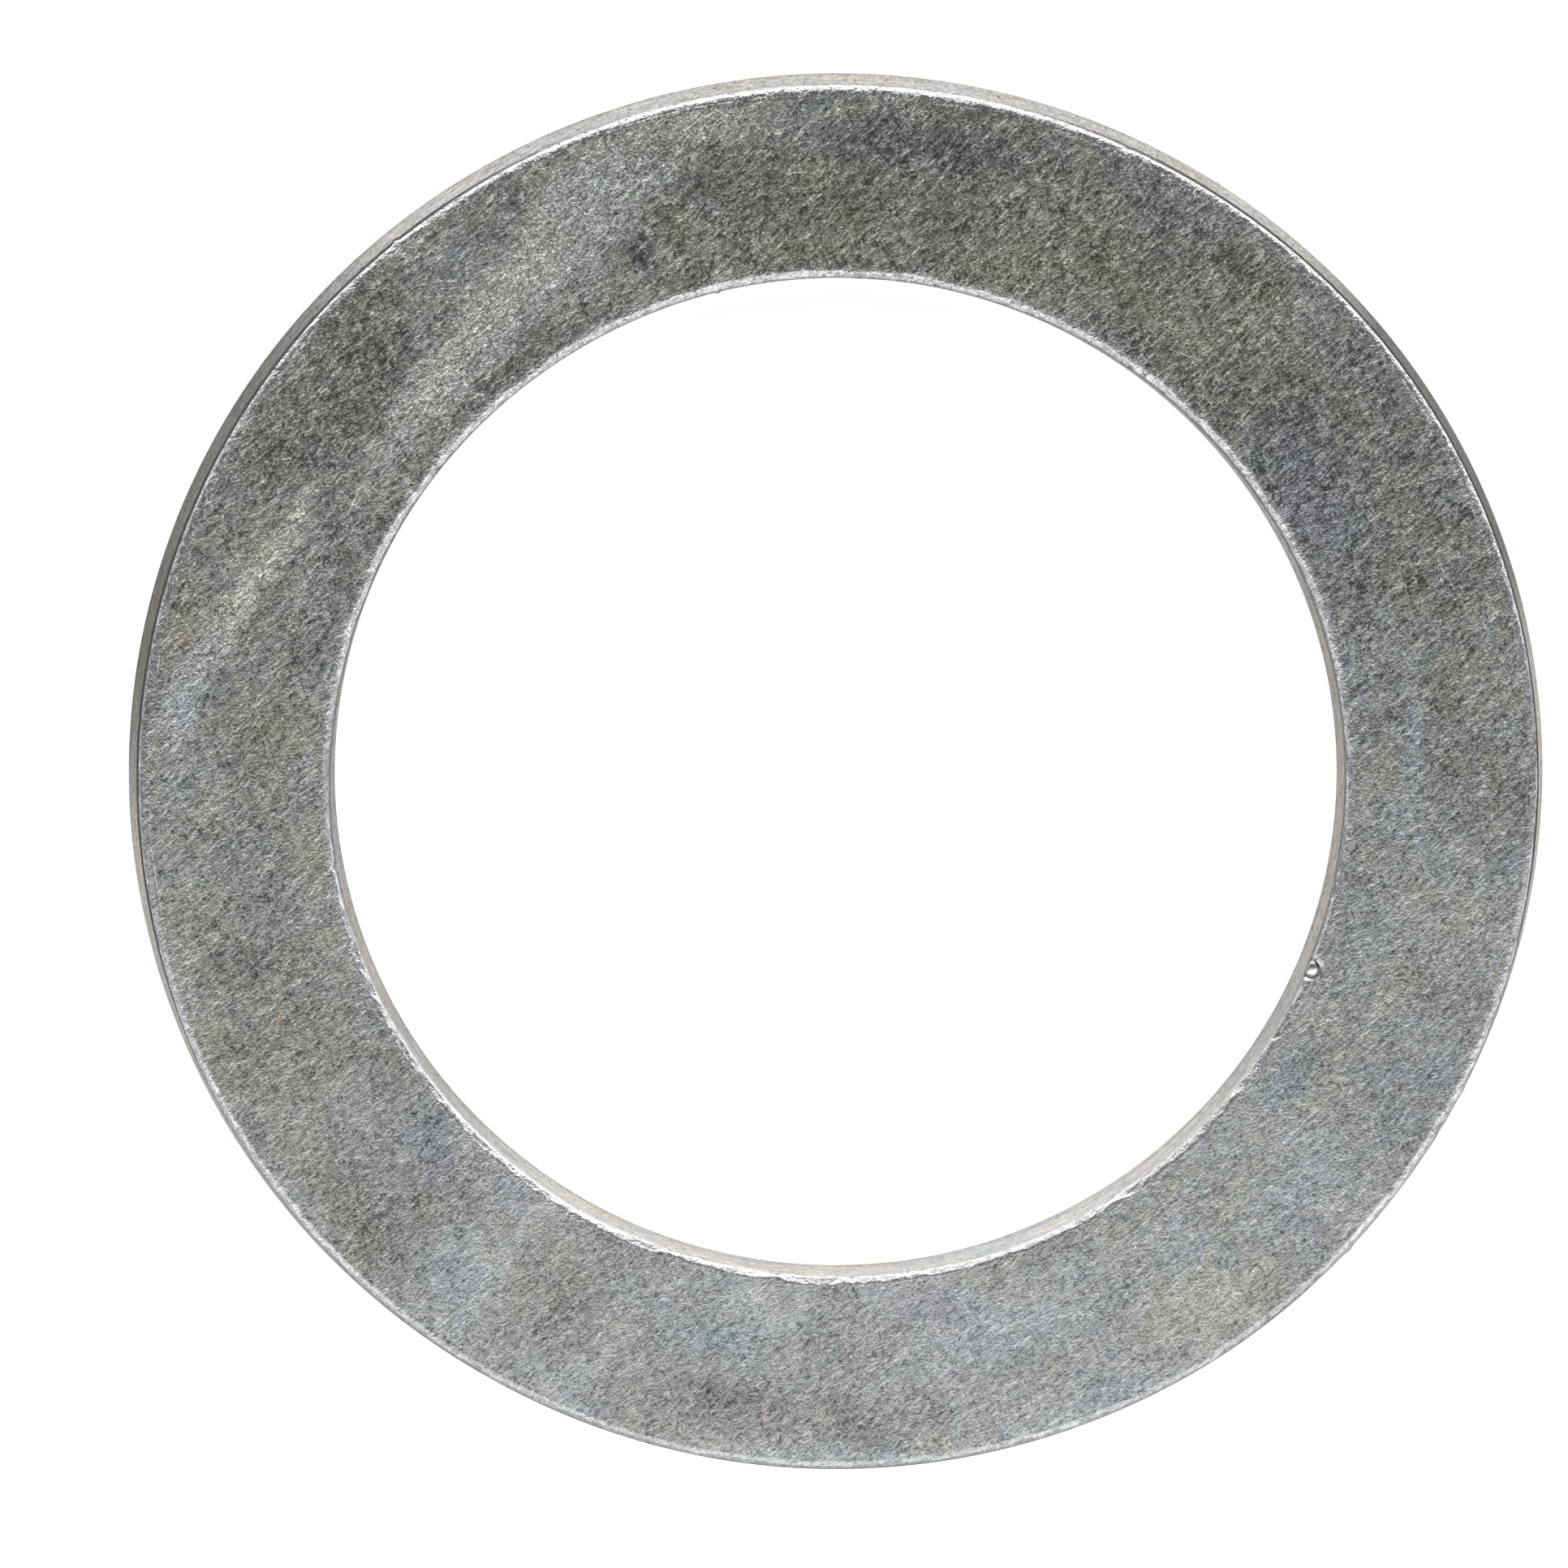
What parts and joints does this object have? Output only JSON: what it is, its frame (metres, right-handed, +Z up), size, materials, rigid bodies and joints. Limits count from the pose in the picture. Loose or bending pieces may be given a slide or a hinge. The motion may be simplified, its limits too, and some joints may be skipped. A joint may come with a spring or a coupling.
{
  "type": "flat washer",
  "caption": "Thin punched steel ring that spreads a fastener's load or takes up end play on a shaft; rounded upper edges, slightly flared walls, mottled zinc plating.",
  "frame": {"origin": "centre of the ring on the plane of its lower face", "axes": "+Z up along the axis of the hole, from the sharp-edged lower face to the round-edged upper face; X and Y lie in the lower face and are equivalent, because the ring is round"},
  "size_m": [0.035, 0.035, 0.001],
  "materials": {
    "zinc_plated_steel": "satin zinc plate with felt-like micro texture, mottled olive and blue grey, bright on the rounded edges"
  },
  "bodies": {
    "root": {"washer": "zinc_plated_steel"}
  },
  "joints": []
}
